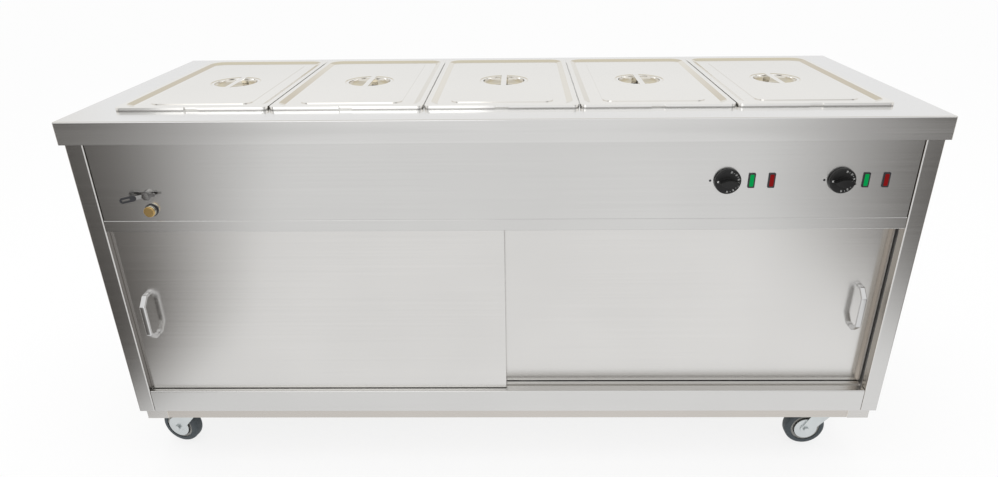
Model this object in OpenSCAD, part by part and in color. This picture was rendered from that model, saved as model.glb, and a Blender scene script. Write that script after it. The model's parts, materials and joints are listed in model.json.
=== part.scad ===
// Mobile hot cupboard with a bain marie top: five one-one pans with lids, two sliding doors,
// two thermostats with lamps, a well drain with a lever valve, and four swivel castors.
// The origin lies on the floor, under the middle of the whole object. +Y points to the back.

/* [Worktop] */
// Width of the worktop beside the pans, at each end
worktop_side = 82.7; // [74:0.1:180]
// Depth of the worktop behind the pans
worktop_rear = 61; // [52:1:140]
// Height of the worktop above the floor
worktop_h = 880; // [860:5:950]
// Depth of the downturned lip
lip_h = 48; // [40:1:60]
// Width of the inward return below the lip
lip_return = 14; // [10:1:25]
// Bend radius along the upper edges of the worktop
worktop_r = 3; // [2:0.5:5]
// Sheet thickness of the outer skins
skin_t = 1.5; // [1:0.1:2]
// Sheet thickness of the inner linings
liner_t = 1.2; // [0.8:0.1:1.5]
// How far the worktop stands past the body all round
overhang = 8; // [5:1:20]

/* [Body] */
// Width of the front face of each corner post
post_w = 38; // [30:1:45]
// Depth of the fold inside each corner post
post_return = 21; // [15:1:24]
// Bend radius of the corner posts
post_r = 3; // [2:0.5:5]
// Drop from the worktop to the lower edge of the control panel
control_drop = 218; // [210:1:240]
// Height of the rail above the doors
header_h = 27; // [24:1:40]
// Height of the plinth below the doors
plinth_h = 58; // [40:1:80]
// Gap beside the control panel and the back panel
panel_gap = 3; // [1:0.5:5]
// Depth of the folds round the panels
panel_fold = 16; // [12:1:20]

/* [Base and castors] */
// Height of the base frame
base_h = 29; // [25:1:40]
// Distance from the body's skin in to the base frame
base_inset = 11.4; // [5:0.2:20]
// Width of the rails of the base frame
base_rail_w = 50; // [40:1:60]
// Step from the side rails back to the cross rails
base_step = 2; // [1:0.5:5]
// Wall thickness of the base frame
base_t = 2; // [1.5:0.5:3]
// Overall height of a castor
castor_h = 130; // [125:1:135]
// Wheel diameter
wheel_d = 100; // [90:1:102]
// Tyre width
tyre_w = 30; // [26:1:34]
// Depth of the tyre over the hub
tyre_depth = 14; // [10:0.5:18]
// Distance from the swivel axis to the axle
castor_trail = 42; // [36:1:46]
// Length of the castor's top plate
plate_l = 105; // [100:1:115]
// Width of the castor's top plate
plate_w = 85; // [80:1:90]
// Thickness of the castor's top plate
plate_t = 3; // [2.5:0.5:4]
// Distance from the end of the base frame to the castor's swivel axis
castor_inset = 74; // [70:1:90]

/* [Well, pans and lids] */
// Width of one pan over its flange
pan_w = 325; // [320:1:330]
// Length of one pan over its flange
pan_l = 530; // [500:1:535]
// Gap between the flanges of two pans
pan_gap = 2.4; // [2:0.2:5]
// Depth of a pan
pan_depth = 100; // [65:5:110]
// Sheet thickness of a pan
pan_t = 1; // [0.8:0.1:1.2]
// Width of a pan's flange
pan_flange = 12; // [11:0.5:14]
// How far a pan's flange lies on the worktop
pan_rest = 8; // [6:0.5:9]
// Distance from the worktop's front edge to the pans
pan_front = 84; // [80:1:95]
// Depth of the well below the worktop
well_depth = 128; // [124:1:134]
// Width of the bars between two pans
bar_w = 22; // [18:1:24]
// Depth of the bars between two pans
bar_h = 14; // [10:1:20]
// Height of a lid's downturned rim
lid_rim = 5; // [4:0.5:7]
// Sheet thickness of a lid
lid_t = 0.9; // [0.7:0.1:1.1]
// Width of the flat border of a lid
lid_border = 11; // [9:0.5:14]
// Width of the slope inside a lid's border
lid_slope = 13; // [10:0.5:16]
// Drop of the slope inside a lid's border
lid_drop = 4; // [2.5:0.5:5]
// Distance from a lid's long edge to its raised panel
lid_panel_x = 52; // [45:1:60]
// Distance from a lid's short edge to its raised panel
lid_panel_y = 45; // [40:1:60]
// Rise of a lid's panel
lid_panel_rise = 1.5; // [1:0.5:2]
// Radius of a lid's finger bowl
bowl_r = 50; // [42:1:54]
// Depth of a lid's finger bowl
bowl_depth = 17; // [12:1:24]
// Width of the strap over the finger bowl
strap_w = 13; // [10:1:18]
// Width of the notch in a lid's rim
notch_w = 28; // [20:1:40]

/* [Doors] */
// Setback of the left door's face behind the body's face
door_setback = 13; // [10:0.5:15]
// Thickness of a door
door_t = 22; // [18:1:24]
// Distance between the faces of the two doors
door_pitch = 28; // [27:0.5:32]
// How far each door's end is hidden behind its post
door_hidden = 4.5; // [3:0.5:6]
// Overlap of the two doors
door_overlap = 8; // [4:1:30]
// Gap under and over the doors
door_gap = 2; // [1:0.5:4]
// Sheet thickness of the doors
door_skin = 1.2; // [1:0.1:1.5]
// Length of a door handle
handle_l = 113; // [100:1:160]
// How far a handle stands out of its door
handle_reach = 35; // [30:1:40]
// Width of a handle's bar
handle_w = 12; // [9:1:16]
// Thickness of a handle's bar
handle_t = 8; // [6:0.5:10]
// Length cut off a handle's corners
handle_chamfer = 20; // [14:1:24]
// Distance from a door's outer end to its handle
handle_in = 52; // [50:1:90]
// Height of a handle's middle above the lower edge of its door
handle_rise = 206; // [150:1:280]

/* [Controls] */
// Diameter of a thermostat dial
knob_d = 54; // [46:1:60]
// How far a dial's grip stands out of the panel
knob_reach = 26; // [22:1:32]
// Distance from the side of the body to the nearer dial
knob_in = 193; // [180:1:240]
// Distance between the two dials
knob_pitch = 234; // [200:1:240]
// Drop from the worktop to the dials and lamps
knob_drop = 134; // [125:1:145]
// Distance from a dial to its green lamp
lamp_x = 50; // [46:1:55]
// Distance between the two lamps
lamp_pitch = 41; // [30:1:45]
// Width of a lamp's bezel
lamp_w = 14; // [12:0.5:18]
// Height of a lamp's bezel
lamp_h = 32; // [28:1:36]

/* [Drain] */
// Distance from the side of the body to the drain
drain_in = 149; // [148:1:190]
// Drop from the worktop to the drain outlet
outlet_drop = 193; // [191:1:196]
// Drop from the worktop to the valve's spindle
spindle_drop = 158; // [156:1:160]
// Outer diameter of the drain pipe
pipe_d = 21; // [18:1:22]
// Diameter of the brass cap
cap_d = 23; // [22.4:0.1:25]
// Length of the valve's lever from its spindle
lever_l = 54; // [48:1:66]

/* [Hidden] */
$fn = 48;

// General clearances and allowances
fit = 0.05;
slack = 0.3;
over = 1;
pan_count = 5;
pan_pitch = pan_w + pan_gap;
worktop_w = pan_count * pan_pitch - pan_gap + 2 * worktop_side;
worktop_d = pan_front + pan_l + worktop_rear;

// Heights
lip_z = worktop_h - lip_h;
panel_z = worktop_h - control_drop;
header_z = panel_z - header_h;
body_z = castor_h + base_h;
sill_z = body_z + plinth_h;
well_z = worktop_h - well_depth;
knob_z = worktop_h - knob_drop;
outlet_z = worktop_h - outlet_drop;
spindle_z = worktop_h - spindle_drop;
floor_z = sill_z - 11;
ceiling_z = panel_z - 7;

// The body in plan, with y counted from the worktop's front edge
body_x = worktop_w / 2 - overhang;
body_back = worktop_d - overhang;
post_x = body_x - post_w;
rail_l = 2 * (post_x - skin_t);
rear_fold = 25;
side_fold = 24;
gland_x = body_x - 112;
gland_z = body_z + 141;
gland_r = 10;
gland_reach = 20;
gland_in = 10;
gland_shoulder = 2;
gland_nut_r = 15;
gland_nut_h = 6;
cable_r = 5;
front_out = max(knob_reach, handle_reach - door_setback) - overhang;
rear_out = gland_reach - overhang;
front_y = -(worktop_d + rear_out - front_out) / 2;

// Doors and their tracks
door_y = overhang + door_setback;
door_end = post_x + door_hidden;
door_w = door_end + door_overlap / 2;
door_mid = (door_end - door_overlap / 2) / 2;
door_z = sill_z + door_gap;
door_rise = 15;
handle_z = door_z + handle_rise;
door_h = header_z + door_rise - door_z;
door_r = 2;
door_hole_r = 3;
header_r = 2;
header_fold = 10;
sill_tail = 27;
track_gap = 1.6;
track_z = panel_z - 2 * liner_t;
track_leg_z = header_z + 5;
bay_y = door_y + door_pitch + door_t + 5;
groove_w = 8;
groove_h = 10;
glide_w = groove_w - 1;
glide_l = 40;
glide_in = 60;
pad_h = 6;

// Linings
liner_x = door_end + 3.5;
liner_back = body_back - 27;
jamb_left = door_y + 2;
jamb_right = overhang + post_return + 3;
liner_z = floor_z - 16;

// Shelves
shelf_rise = 70;
shelf_pitch = 174;
shelf_z = [floor_z + shelf_rise, floor_z + shelf_rise + shelf_pitch];
shelf_fold = 25;
shelf_gap = 4;
shelf_front = bay_y + 8;
shelf_l = liner_back - shelf_front - 8;
shelf_w = liner_x - 1.5 * shelf_gap;
angle_w = 20;
angle_t = 2;
bearer_w = 34;
bearer_h = 8;
shelf_post_w = 20;
shelf_post_in = 24;

// Well, pans and lids
well_w = pan_count * pan_pitch - pan_gap - 2 * pan_rest;
well_l = pan_l - 2 * pan_rest;
well_y = pan_front + pan_l / 2;
well_front = well_y - well_l / 2;
well_r = 20;
well_bend = 8;
pan_corner = 12;
pan_edge = 0.7;
pan_top = worktop_h + slack + pan_edge + pan_t;
pan_body_r = 54;
pan_taper = 7;
pan_bend = 14;
lid_z = pan_top + slack;
lid_top = lid_z + lid_rim;
lid_corner = 12;
lid_inner_r = 32;
lid_panel_r = 20;
lid_floor = lid_top - lid_drop;
notch_l = 4;
bowl_ring = 9;
bowl_flat_r = 26;

// Heating elements
tube_r = 4.5;
well_run = 110;
well_runs = [well_y - well_run, well_y + well_run];
well_tube_z = well_z + liner_t + 9;
cupboard_y = (bay_y + liner_back) / 2;
cupboard_run = 130;
cupboard_runs = [cupboard_y - cupboard_run, cupboard_y + cupboard_run];
cupboard_tube_z = floor_z + 16;
tube_end = 22;
clip_l = 12;
clip_w = 16;
well_bend_in = 160;
clip_in = 310;
well_clips = [clip_in - well_w / 2, 0, well_w / 2 - clip_in];
cupboard_bend_in = 200;
cupboard_clips = [clip_in - liner_x, 0, liner_x - clip_in];

// Controls
shaft_r = 3;
shaft_l = 14;
stat_w = 36;
stat_h = 44;
stat_d = 32;
knob_gap = 0.6;
knob_skirt = 9;
knob_edge = 3;
grip_l = 40;
grip_w = 15;
grip_r = (grip_l * grip_l + grip_w * grip_w) / (4 * grip_w);
lens_w = lamp_w - 5.5;
lens_h = lamp_h - 6;
lamp_body_w = lamp_w - 3;
lamp_body_h = lamp_h - 3;
lamp_r = 2;
lamp_out = 2;
lens_out = 2.8;
lens_in = 8;
lamp_depth = 24;
knobs = [body_x - knob_in - knob_pitch, body_x - knob_in];

// Drain
drain_x = body_x - drain_in;
pipe_t = 1.5;
pipe_z = well_z + liner_t + pipe_d / 2 + 0.5;
valve_y = overhang + 35;
valve_r = 17;
valve_end_r = 14;
valve_half = 18;
boss_r = 10;
boss_out = 6.5;
stem_r = 4;
stem_in = 20;
bend_r = pipe_z - spindle_z - valve_half;
cap_wall = 1.7;
cap_edge = 1.5;
cap_out = 14;
cap_l = 8;
spout_r = cap_d / 2 - cap_wall - slack / 2;
spout_t = 2.5;
spout_out = cap_out - 2;
bush_r = spout_r + 4;
bush_body_r = spout_r + 2;
bush_out = 3;
bush_in = 10;
collar_r = cap_d / 2 + 1;
collar_l = cap_out - cap_l - bush_out - 2 * slack;
lever_t = 2.2;
lever_w = 8;
lever_tail = spindle_z - outlet_z - cap_d / 2 - 4;
lever_tilt = 8;
lever_crank = 18;
lever_bend = 11;
stop_l = 57;
stop_h = 5;
stop_t = 1.6;
stop_rise = 2;
lever_gap = 0.4;
nut_r = 8;
nut_h = 6;
sleeve_l = 32;
sleeve_w = 12;
sleeve_t = 4.4;
sleeve_r = 5.6;
sleeve_wall = 3.8;
slot_r = 1.8;
tongue_l = 8;

// Castors
castor_x = body_x - base_inset - castor_inset;
castor_front = overhang + base_inset - base_step + castor_inset;
castor_back = worktop_d - castor_front;
axle_z = wheel_d / 2;
axle_r = 4;
axle_nut_r = 7.5;
axle_nut_h = 5;
tread_r = 9;
crown_z = wheel_d + 4;
fork_t = 3;
leg_y = tyre_w / 2 + 3;
crown_r = 26;
crown_l = 26;
crown_back = 26;
leg_out = 11;
leg_in = 20;
leg_rise = 6;
leg_end_r = 14;
guard_r = 28.5;
guard_t = 2;
race_r = 21;
race_h = 4;
race_lip = 3;
pin_r = 6;
pin_head_r = 9;
pin_head_h = 4;
hub_r = wheel_d / 2 - tyre_depth;
hub_boss_r = 12;
hub_slope = 2;
hub_gap = 0.4;
rim_depth = 6;
rim_in = 2;
web_t = 6;
bolt_r = 4;
bolt_head_r = 7.5;
bolt_head_h = 5;
bolt_in = 13;
bolt_end = 2.4;
bolt_gap = 0.4;
plate_r = 6;
vent_in = 150;
gusset_w = 135;
gusset_t = 3;
cross_rail_w = 40;
turn_front_left = 166;
turn_front_right = 180;
turn_rear_left = 172;
turn_rear_right = 184;

function arc(x, y, r, a, b) = [
  for (i = [0:6]) [x + r * cos(a + (b - a) * i / 6), y + r * sin(a + (b - a) * i / 6)]
];
function pan_x(i) = (i - (pan_count + 1) / 2) * pan_pitch;

// Shared shapes
module place() {
  translate([0, front_y, 0]) children();
}

module along_x(length) {
  rotate([90, 0, 90]) linear_extrude(length, center = true) children();
}

module on_panel(x, z) {
  place() translate([x, overhang, z]) rotate([90, 0, 0]) children();
}

module rounded(w, l, r) {
  square([w - 2 * r, l], center = true);
  square([w, l - 2 * r], center = true);
  for (x = [-1, 1], y = [-1, 1]) translate([x * (w / 2 - r), y * (l / 2 - r)]) circle(r);
}

// Carries a profile round a rectangle; its x runs outward from the centre of each corner
module ring(w, l, r) {
  for (i = [0:3]) {
    x = (i == 0 || i == 3) ? 1 : -1;
    y = i < 2 ? 1 : -1;
    translate([x * (w / 2 - r), y * (l / 2 - r), 0]) rotate(90 * i) {
      rotate_extrude(angle = 90) children();
    }
  }
  for (i = [0:3]) {
    reach = i % 2 == 0 ? w : l;
    span = i % 2 == 0 ? l : w;
    rotate(90 * i) translate([reach / 2 - r, 0, 0]) rotate([90, 0, 0]) {
      linear_extrude(span - 2 * r, center = true) children();
    }
  }
}

// A folded panel: the face at y = 0 and its edges folded back to y = d
module tray(w, d, h, t) {
  difference() {
    translate([-w / 2, 0, 0]) cube([w, d, h]);
    translate([-w / 2 + t, t, t]) cube([w - 2 * t, d, h - 2 * t]);
  }
}

// Worktop and well
module worktop() {
  r = worktop_r;
  color([0.84, 0.85, 0.85]) place() translate([0, worktop_d / 2, 0]) {
    translate([0, 0, worktop_h - skin_t]) linear_extrude(skin_t) difference() {
      square([worktop_w - 2 * r, worktop_d - 2 * r], center = true);
      translate([0, well_y - worktop_d / 2]) rounded(well_w, well_l, well_r);
    }
    ring(worktop_w, worktop_d, r) polygon(concat(
      [[r - skin_t, lip_z], [r, lip_z]],
      arc(0, worktop_h - r, r, 0, 90),
      arc(0, worktop_h - r, r - skin_t, 90, 0)
    ));
    translate([0, 0, lip_z]) linear_extrude(skin_t) difference() {
      rounded(worktop_w, worktop_d, r);
      square([worktop_w - 2 * lip_return, worktop_d - 2 * lip_return], center = true);
    }
  }
}

module well_tank() {
  r = well_r;
  b = well_bend;
  color([0.72, 0.73, 0.74]) place() difference() {
    translate([0, well_y, 0]) {
      ring(well_w, well_l, r) polygon(concat(
        [[r, worktop_h - skin_t]],
        arc(r - b, well_z + liner_t + b, b, 0, -90),
        arc(r - b, well_z + liner_t + b, b + liner_t, -90, 0),
        [[r + liner_t, worktop_h - skin_t]]
      ));
      translate([0, 0, well_z]) linear_extrude(liner_t) rounded(well_w - 2 * b, well_l - 2 * b, r - b);
    }
    translate([-drain_x, well_front - 2 * liner_t, pipe_z]) rotate([-90, 0, 0]) {
      cylinder(h = 2 * well_bend, r = pipe_d / 2);
    }
    for (y = well_runs) translate([well_w / 2 - over, y, well_tube_z]) tube_hole();
  }
}

module pan_support_bars() {
  color([0.78, 0.79, 0.8]) place() for (i = [1:pan_count - 1]) {
    translate([pan_x(i) + pan_pitch / 2, well_y, worktop_h]) rotate([90, 0, 0]) {
      linear_extrude(well_l, center = true) difference() {
        translate([-bar_w / 2, -bar_h]) square([bar_w, bar_h]);
        translate([-bar_w / 2 + skin_t, -bar_h - skin_t]) square([bar_w - 2 * skin_t, bar_h]);
      }
    }
  }
}

// The hole in a lining where one end of a heating tube comes out
module tube_hole() {
  rotate([0, 90, 0]) cylinder(h = 2 * over + 2 * liner_t, r = tube_r);
}

// Outer skins
module side_panel(depth) {
  r = post_r;
  color([0.76, 0.76, 0.76]) place() {
    translate([0, 0, body_z]) linear_extrude(lip_z - body_z) polygon(concat(
      [[post_x, overhang + depth]],
      arc(post_x + r, overhang + r, r, 180, 270),
      arc(body_x - r, overhang + r, r, 270, 360),
      arc(body_x - r, body_back - r, r, 0, 90),
      [[body_x - rear_fold, body_back], [body_x - rear_fold, body_back - skin_t]],
      arc(body_x - r, body_back - r, r - skin_t, 90, 0),
      arc(body_x - r, overhang + r, r - skin_t, 360, 270),
      arc(post_x + r, overhang + r, r - skin_t, 270, 180),
      [[post_x + skin_t, overhang + depth]]
    ));
    for (z = [body_z, lip_z - skin_t]) {
      translate([body_x - skin_t - side_fold, overhang + post_r, z]) {
        cube([side_fold + skin_t / 2, body_back - overhang - 2 * post_r, skin_t]);
      }
    }
  }
}

module left_side() {
  mirror([1, 0, 0]) side_panel(door_setback - 1);
}

module right_side() {
  side_panel(post_return);
}

module back_panel() {
  w = 2 * (body_x - rear_fold - panel_gap);
  color([0.76, 0.76, 0.76]) place() difference() {
    translate([0, body_back, body_z]) rotate(180) tray(w, panel_fold, lip_z - body_z, liner_t);
    translate([gland_x, body_back - panel_fold, gland_z]) rotate([-90, 0, 0]) {
      cylinder(h = 2 * panel_fold, r = gland_r);
    }
  }
}

module control_panel() {
  color([0.8, 0.8, 0.8]) difference() {
    place() translate([0, overhang, panel_z]) {
      tray(2 * (post_x - panel_gap), panel_fold, lip_z - panel_z, skin_t);
    }
    for (x = knobs) {
      on_panel(x, knob_z) cylinder(h = 4 * skin_t, r = shaft_r + over, center = true);
    }
    for (i = [0, 1]) on_lamps(i) linear_extrude(4 * skin_t, center = true) {
      square([lamp_body_w, lamp_body_h], center = true);
    }
    on_panel(-drain_x, spindle_z) cylinder(h = 4 * skin_t, r = boss_r, center = true);
    on_panel(-drain_x, outlet_z) cylinder(h = 4 * skin_t, r = bush_body_r, center = true);
  }
}

module door_header() {
  r = header_r;
  color([0.78, 0.78, 0.78]) place() translate([0, 0, header_z]) along_x(rail_l) polygon(concat(
    [[overhang + header_fold, 0]],
    arc(overhang + r, r, r, 270, 180),
    arc(overhang + r, header_h - r, r, 180, 90),
    [[bay_y, header_h], [bay_y, header_h - liner_t]],
    arc(overhang + r, header_h - r, r - liner_t, 90, 180),
    arc(overhang + r, r, r - liner_t, 180, 270),
    [[overhang + header_fold, liner_t]]
  ));
}

module door_sill() {
  r = worktop_r;
  t = liner_t;
  h = plinth_h;
  low = h - groove_h;
  g = groove_w / 2;
  y1 = door_y + door_t / 2;
  y2 = y1 + door_pitch;
  color([0.8, 0.8, 0.8]) place() translate([0, 0, body_z]) along_x(rail_l) polygon(concat(
    [[door_y + door_t, 0], [overhang, 0]],
    arc(overhang + r, h - r, r, 180, 90),
    [[y1 - g, h], [y1 - g, low], [y1 + g, low], [y1 + g, h]],
    [[y2 - g, h], [y2 - g, low], [y2 + g, low], [y2 + g, h]],
    [[bay_y, h], [bay_y, h - sill_tail], [bay_y - t, h - sill_tail], [bay_y - t, h - t]],
    [[y2 + g + t, h - t], [y2 + g + t, low - t], [y2 - g - t, low - t], [y2 - g - t, h - t]],
    [[y1 + g + t, h - t], [y1 + g + t, low - t], [y1 - g - t, low - t], [y1 - g - t, h - t]],
    arc(overhang + r, h - r, r - t, 90, 180),
    [[overhang + t, t], [door_y + door_t, t]]
  ));
}

module top_track() {
  t = liner_t;
  leg = track_z - track_leg_z;
  mid = door_y + (door_t + door_pitch) / 2;
  color([0.7, 0.71, 0.72]) place() translate([0, 0, track_leg_z]) along_x(rail_l) {
    translate([door_y - track_gap - t, leg]) square([bay_y - door_y + track_gap + t, t]);
    for (y = [door_y - track_gap - t, mid - t / 2, door_y + door_pitch + door_t + track_gap]) {
      translate([y, 0]) square([t, leg + t / 2]);
    }
  }
}

// Cupboard
module inner_liner() {
  t = liner_t;
  x = liner_x;
  color([0.68, 0.69, 0.7]) place() difference() {
    translate([0, 0, liner_z]) linear_extrude(panel_z - over - liner_z) polygon([
      [-x - t, jamb_left], [-x, jamb_left], [-x, liner_back], [x, liner_back],
      [x, jamb_right], [x + t, jamb_right], [x + t, liner_back + t], [-x - t, liner_back + t]
    ]);
    for (y = cupboard_runs) translate([x - over, y, cupboard_tube_z]) tube_hole();
  }
}

module cupboard_ceiling() {
  color([0.68, 0.69, 0.7]) place() {
    translate([-liner_x, bay_y, ceiling_z]) cube([2 * liner_x, liner_back - bay_y, liner_t]);
    translate([-liner_x, bay_y, ceiling_z]) cube([2 * liner_x, liner_t, track_z + liner_t - ceiling_z]);
  }
}

module cupboard_floor() {
  color([0.68, 0.69, 0.7]) place() {
    translate([-liner_x, bay_y, floor_z - liner_t]) cube([2 * liner_x, liner_back - bay_y, liner_t]);
    translate([-liner_x, bay_y, liner_z]) cube([2 * liner_x, liner_t, floor_z - liner_z]);
  }
}

module shelves() {
  t = liner_t;
  color([0.72, 0.73, 0.74]) place() for (z = shelf_z, side = [-1, 1]) {
    translate([side * (shelf_w + shelf_gap) / 2 - shelf_w / 2, shelf_front, z]) difference() {
      translate([0, 0, -shelf_fold]) cube([shelf_w, shelf_l, shelf_fold]);
      translate([t, t, -shelf_fold - t]) cube([shelf_w - 2 * t, shelf_l - 2 * t, shelf_fold]);
      if (z == shelf_z[0]) {
        translate([shelf_w / 2 - side * (shelf_w + shelf_gap) / 2, -shelf_front, -shelf_fold - over]) {
          at_shelf_posts() linear_extrude(shelf_fold + 2 * over) {
            square(shelf_post_w + 2 * slack, center = true);
          }
        }
      }
    }
  }
}

module at_shelf_posts() {
  for (y = [shelf_front + shelf_post_in, shelf_front + shelf_l - shelf_post_in]) {
    translate([0, y, 0]) children();
  }
}

module shelf_brackets() {
  t = angle_t;
  color([0.66, 0.67, 0.68]) place() {
    for (z = shelf_z) translate([0, shelf_front, z - shelf_fold]) {
      for (side = [0, 1]) mirror([side, 0, 0]) {
        translate([liner_x, 0, 0]) rotate([-90, 0, 0]) linear_extrude(shelf_l) polygon([
          [0, 0], [-angle_w, 0], [-angle_w, t], [-t, t], [-t, angle_w], [0, angle_w]
        ]);
      }
      translate([-bearer_w / 2, 0, -bearer_h]) cube([bearer_w, shelf_l, bearer_h]);
    }
    at_shelf_posts() translate([0, 0, floor_z]) linear_extrude(shelf_z[1] - shelf_fold - floor_z) {
      square(shelf_post_w, center = true);
    }
  }
}

// Base
module base_frame() {
  x = body_x - base_inset;
  y1 = overhang + base_inset;
  y2 = worktop_d - y1;
  w = base_rail_w;
  l = y2 - y1 + 2 * base_step;
  c = cross_rail_w;
  t = base_t;
  color([0.68, 0.69, 0.69]) difference() {
    place() translate([0, 0, castor_h]) {
      for (side = [0, 1]) mirror([side, 0, 0]) {
        translate([x - w, y1 - base_step, 0]) difference() {
          cube([w, l, base_h]);
          translate([t, t, t]) cube([w - 2 * t, l - 2 * t, base_h - 2 * t]);
        }
        for (y = [y1 + c + slack, y2 - gusset_w]) translate([x - gusset_w, y, 0]) {
          cube([gusset_w - w / 2, gusset_w - c - slack, gusset_t]);
        }
      }
      for (y = [y1, y2 - c, (y1 + y2 - c) / 2]) translate([w - x + slack, y, 0]) difference() {
        cube([2 * (x - w - slack), c, base_h]);
        translate([-over, t, t]) cube([2 * (x - w + over), c - 2 * t, base_h - 2 * t]);
      }
    }
    at_castors() at_bolts() translate([0, 0, -over]) {
      cylinder(h = bolt_end + bolt_gap + over, r = bolt_r + slack, $fn = 24);
    }
    place() for (side = [-1, 1], y = [y1 + vent_in, y2 - vent_in]) {
      translate([side * (x - w / 2), y, castor_h]) cylinder(h = 4 * t, r = bolt_r, center = true);
    }
  }
}

// Each castor's swivel axis, at the level of the underside of the base frame
module at_castors() {
  place() for (side = [-1, 1], y = [castor_front, castor_back]) {
    translate([side * castor_x, y, castor_h]) children();
  }
}

module at_bolts() {
  for (x = [-1, 1], y = [-1, 1]) {
    translate([x * (plate_l / 2 - bolt_in), y * (plate_w / 2 - bolt_in), 0]) children();
  }
}

module castor_plates() {
  cup_h = castor_h - plate_t - crown_z - fork_t - race_h - slack;
  pin_l = castor_h - crown_z + slack;
  color([0.75, 0.76, 0.77]) at_castors() {
    translate([0, 0, -plate_t]) linear_extrude(plate_t) rounded(plate_l, plate_w, plate_r);
    translate([0, 0, -plate_t - cup_h]) cylinder(h = cup_h, r = race_r + race_lip);
    translate([0, 0, -pin_l]) cylinder(h = pin_l - plate_t / 2, r = pin_r);
    translate([0, 0, -pin_l - pin_head_h]) cylinder(h = pin_head_h, r = pin_head_r);
    at_bolts() {
      translate([0, 0, -plate_t]) cylinder(h = plate_t + bolt_end, r = bolt_r, $fn = 24);
      translate([0, 0, -plate_t - bolt_head_h]) cylinder(h = bolt_head_h, r = bolt_head_r, $fn = 6);
    }
  }
}

module castor(side, y, turn) {
  place() translate([side * castor_x, y, 0]) rotate(turn) children();
}

module fork() {
  back = crown_back;
  top = crown_z + fork_t / 2;
  side_y = leg_y + fork_t;
  color([0.78, 0.79, 0.8]) {
    difference() {
      union() {
        translate([0, 0, crown_z]) cylinder(h = fork_t, r = crown_r);
        translate([-back, -side_y, crown_z]) cube([crown_l + back, 2 * side_y, fork_t]);
        translate([0, 0, crown_z]) cylinder(h = fork_t + race_h, r = race_r);
        for (y = [-leg_y, side_y]) translate([0, y, 0]) rotate([90, 0, 0]) linear_extrude(fork_t) {
          polygon([
            [-back, top], [crown_l, top],
            [castor_trail + leg_out, axle_z + leg_rise], [castor_trail, axle_z - leg_end_r],
            [castor_trail - leg_in, axle_z]
          ]);
          translate([castor_trail, axle_z]) circle(leg_end_r);
        }
        for (y = [leg_y, guard_t - leg_y]) translate([castor_trail, y, axle_z]) rotate([90, 0, 0]) {
          cylinder(h = guard_t, r = guard_r);
        }
      }
      translate([0, 0, crown_z - over]) cylinder(h = fork_t + race_h + 2 * over, r = pin_r + fit);
      axle(4 * leg_y, axle_r + fit);
    }
    axle(2 * side_y + over, axle_r);
    for (s = [-1, 1]) translate([0, s * (side_y + fit + axle_nut_h / 2), 0]) {
      axle(axle_nut_h, axle_nut_r, $fn = 6);
    }
  }
}

module axle(length, r) {
  translate([castor_trail, 0, axle_z]) rotate([90, 0, 0]) cylinder(h = length, r = r, center = true);
}

module wheel() {
  translate([castor_trail, 0, axle_z]) rotate([90, 0, 0]) rotate_extrude() children();
}

module hub() {
  b = leg_y - guard_t - hub_gap;
  w = tyre_w / 2 - rim_in;
  rim = hub_r - rim_depth;
  half = web_t / 2;
  color([0.62, 0.62, 0.6]) wheel() polygon([
    [axle_r + fit, -b], [hub_boss_r, -b], [hub_boss_r + hub_slope, -half],
    [rim - hub_slope, -half], [rim, -w], [hub_r, -w],
    [hub_r, w], [rim, w], [rim - hub_slope, half],
    [hub_boss_r + hub_slope, half], [hub_boss_r, b], [axle_r + fit, b]
  ]);
}

module tyre() {
  w = tyre_w / 2;
  r = wheel_d / 2;
  e = tread_r;
  color([0.3, 0.34, 0.37]) wheel() polygon(concat(
    [[hub_r, -w]],
    arc(r - e, e - w, e, -90, 0),
    arc(r - e, w - e, e, 0, 90),
    [[hub_r, w]]
  ));
}

// Drain
module drain_pipe() {
  r = pipe_d / 2;
  run = well_front - valve_y - bend_r;
  color([0.74, 0.75, 0.76]) place() translate([-drain_x, valve_y + bend_r, pipe_z - bend_r]) {
    rotate([90, 0, -90]) rotate_extrude(angle = 90) translate([bend_r, 0]) pipe_section(r);
    translate([0, 0, bend_r]) rotate([-90, 0, 0]) linear_extrude(run) pipe_section(r);
  }
}

module pipe_section(r) {
  difference() {
    circle(r);
    circle(r - pipe_t);
  }
}

module drain_valve() {
  out = valve_y - overhang;
  drop = spindle_z - outlet_z;
  elbow_r = valve_end_r - 1;
  color([0.72, 0.73, 0.74]) place() translate([-drain_x, valve_y, spindle_z]) difference() {
    union() {
      sphere(valve_r);
      translate([0, 0, -valve_half]) cylinder(h = 2 * valve_half, r = valve_end_r);
      translate([0, 0, -drop]) sphere(elbow_r);
      translate([0, 0, -drop]) cylinder(h = drop, r = elbow_r);
      translate([0, 0, -drop]) rotate([90, 0, 0]) cylinder(h = out + spout_out, r = spout_r);
      translate([0, -out - bush_out - slack, -drop]) rotate([90, 0, 0]) cylinder(h = collar_l, r = collar_r);
      rotate([90, 0, 0]) cylinder(h = out + boss_out, r = boss_r);
      translate([-stop_l / 2, -out - stop_t, stop_rise]) cube([stop_l, stop_t, stop_h]);
    }
    translate([0, 0, -drop]) rotate([90, 0, 0]) cylinder(h = out + spout_out + over, r = spout_r - spout_t);
    translate([0, -out - boss_out - over, 0]) rotate([-90, 0, 0]) {
      cylinder(h = stem_in + over, r = stem_r + fit);
    }
  }
}

module drain_bush() {
  color([0.1, 0.1, 0.1]) on_panel(-drain_x, outlet_z) difference() {
    union() {
      cylinder(h = bush_out, r = bush_r);
      translate([0, 0, -bush_in]) cylinder(h = bush_in + bush_out / 2, r = bush_body_r);
    }
    translate([0, 0, -bush_in - over]) cylinder(h = bush_in + bush_out + 2 * over, r = spout_r);
  }
}

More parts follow.
